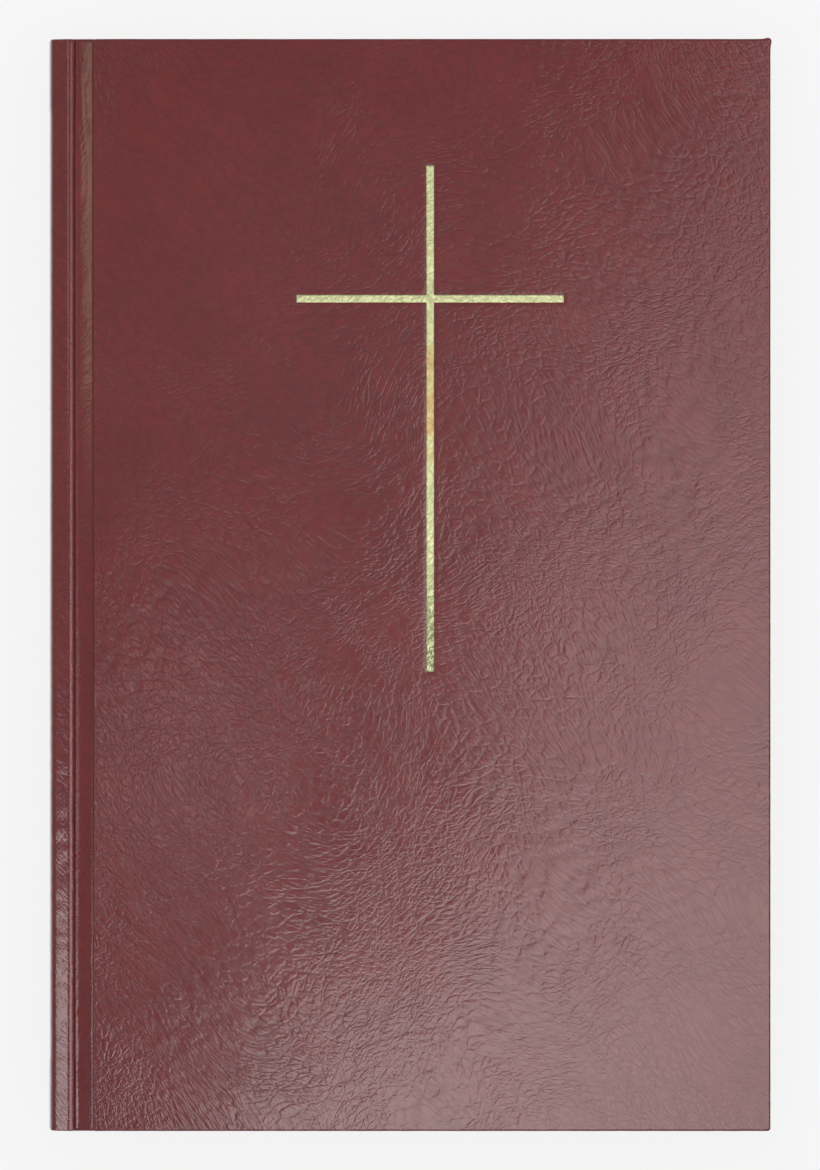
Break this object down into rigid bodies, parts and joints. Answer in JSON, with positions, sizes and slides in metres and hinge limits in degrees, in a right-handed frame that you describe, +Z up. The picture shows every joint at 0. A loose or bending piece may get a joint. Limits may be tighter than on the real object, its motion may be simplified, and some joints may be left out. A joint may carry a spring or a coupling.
{
  "type": "case-bound prayer book",
  "caption": "Closed hardback prayer book with square boards, grained leather-look cover, rounded spine, French grooves, a thin gold cross and covers and leaves that open.",
  "frame": {"origin": "centre of the book's outline on the plane it rests on, the outer face of the back cover", "axes": "+X from the spine to the fore edge, +Y from the tail to the head of the cover, +Z up out of the front cover"},
  "size_m": [0.1396, 0.211, 0.032],
  "materials": {
    "cover_material": "satin, wrinkle-grained burgundy cover material over the boards and spine",
    "gold_foil": "satin pale gold blocking foil, the cover's grain pressed through it",
    "binders_board": "matt grey-brown pressed board",
    "inlay_card": "matt flexible card",
    "page_paper": "matt thin cream paper",
    "endpaper": "matt stout cream endpaper",
    "lining_paper": "matt brown kraft paper",
    "mull": "open-weave starched cotton",
    "spine_glue": "dried flexible adhesive",
    "thread": "waxed linen sewing thread",
    "headband_cloth": "striped red and cream headband cloth"
  },
  "bodies": {
    "text_block": {"section_01": "page_paper", "section_02": "page_paper", "section_03": "page_paper", "section_04": "page_paper", "section_05": "page_paper", "section_06": "page_paper", "section_07": "page_paper", "section_08": "page_paper", "section_09": "page_paper", "section_10": "page_paper", "section_11": "page_paper", "section_12": "page_paper", "section_13": "page_paper", "section_14": "page_paper", "section_15": "page_paper", "section_16": "page_paper", "section_17": "page_paper", "section_18": "page_paper", "section_19": "page_paper", "section_20": "page_paper", "section_21": "page_paper", "section_22": "page_paper", "section_23": "page_paper", "section_24": "page_paper", "sewing_thread": "thread", "spine_glue": "spine_glue", "spine_mull": "mull", "spine_lining": "lining_paper", "head_band": "headband_cloth", "tail_band": "headband_cloth", "spine_skin": "cover_material", "spine_inlay": "inlay_card", "front_joint_cloth": "cover_material", "back_joint_cloth": "cover_material"},
    "front_cover": {"front_cover_skin": "cover_material", "front_board": "binders_board", "front_mull_flange": "mull", "front_pastedown": "endpaper", "cross_foil": "gold_foil"},
    "front_flyleaf": {"front_flyleaf": "endpaper"},
    "front_leaf_1": {"front_leaf_1": "page_paper"},
    "front_leaf_2": {"front_leaf_2": "page_paper"},
    "front_leaf_3": {"front_leaf_3": "page_paper"},
    "front_leaf_4": {"front_leaf_4": "page_paper"},
    "back_cover": {"back_cover_skin": "cover_material", "back_board": "binders_board", "back_mull_flange": "mull", "back_pastedown": "endpaper"},
    "back_flyleaf": {"back_flyleaf": "endpaper"},
    "back_leaf_1": {"back_leaf_1": "page_paper"},
    "back_leaf_2": {"back_leaf_2": "page_paper"},
    "back_leaf_3": {"back_leaf_3": "page_paper"},
    "back_leaf_4": {"back_leaf_4": "page_paper"}
  },
  "joints": [
    {"name": "front_cover_hinge", "type": "hinge", "parent": "text_block", "child": "front_cover", "pos_m": [-0.0627, 0, 0.032], "axis": [0, -1, 0], "range_deg": [0, 179], "deforming": ["front_joint_cloth"]},
    {"name": "front_flyleaf_turn", "type": "hinge", "parent": "text_block", "child": "front_flyleaf", "pos_m": [-0.0627, 0, 0.032], "axis": [0, -1, 0], "range_deg": [0, 167]},
    {"name": "front_leaf_1_turn", "type": "hinge", "parent": "text_block", "child": "front_leaf_1", "pos_m": [-0.0627, 0, 0.032], "axis": [0, -1, 0], "range_deg": [0, 140.1]},
    {"name": "front_leaf_2_turn", "type": "hinge", "parent": "text_block", "child": "front_leaf_2", "pos_m": [-0.0627, 0, 0.032], "axis": [0, -1, 0], "range_deg": [0, 107.9]},
    {"name": "front_leaf_3_turn", "type": "hinge", "parent": "text_block", "child": "front_leaf_3", "pos_m": [-0.0627, 0, 0.032], "axis": [0, -1, 0], "range_deg": [0, 73.9]},
    {"name": "front_leaf_4_turn", "type": "hinge", "parent": "text_block", "child": "front_leaf_4", "pos_m": [-0.0627, 0, 0.032], "axis": [0, -1, 0], "range_deg": [0, 39.9]},
    {"name": "back_cover_hinge", "type": "hinge", "parent": "text_block", "child": "back_cover", "pos_m": [-0.0627, 0, 0], "axis": [0, 1, 0], "range_deg": [0, 179], "deforming": ["back_joint_cloth"]},
    {"name": "back_flyleaf_turn", "type": "hinge", "parent": "text_block", "child": "back_flyleaf", "pos_m": [-0.0627, 0, 0], "axis": [0, 1, 0], "range_deg": [0, 167]},
    {"name": "back_leaf_1_turn", "type": "hinge", "parent": "text_block", "child": "back_leaf_1", "pos_m": [-0.0627, 0, 0], "axis": [0, 1, 0], "range_deg": [0, 140.1]},
    {"name": "back_leaf_2_turn", "type": "hinge", "parent": "text_block", "child": "back_leaf_2", "pos_m": [-0.0627, 0, 0], "axis": [0, 1, 0], "range_deg": [0, 107.9]},
    {"name": "back_leaf_3_turn", "type": "hinge", "parent": "text_block", "child": "back_leaf_3", "pos_m": [-0.0627, 0, 0], "axis": [0, 1, 0], "range_deg": [0, 73.9]},
    {"name": "back_leaf_4_turn", "type": "hinge", "parent": "text_block", "child": "back_leaf_4", "pos_m": [-0.0627, 0, 0], "axis": [0, 1, 0], "range_deg": [0, 39.9]}
  ],
  "couplings": [
    {"joint": "front_flyleaf_turn", "follows": "front_cover_hinge", "ratio": 0.93},
    {"joint": "front_leaf_1_turn", "follows": "front_cover_hinge", "ratio": 0.78},
    {"joint": "front_leaf_2_turn", "follows": "front_cover_hinge", "ratio": 0.6},
    {"joint": "front_leaf_3_turn", "follows": "front_cover_hinge", "ratio": 0.41},
    {"joint": "front_leaf_4_turn", "follows": "front_cover_hinge", "ratio": 0.22},
    {"joint": "back_flyleaf_turn", "follows": "back_cover_hinge", "ratio": 0.93},
    {"joint": "back_leaf_1_turn", "follows": "back_cover_hinge", "ratio": 0.78},
    {"joint": "back_leaf_2_turn", "follows": "back_cover_hinge", "ratio": 0.6},
    {"joint": "back_leaf_3_turn", "follows": "back_cover_hinge", "ratio": 0.41},
    {"joint": "back_leaf_4_turn", "follows": "back_cover_hinge", "ratio": 0.22}
  ]
}
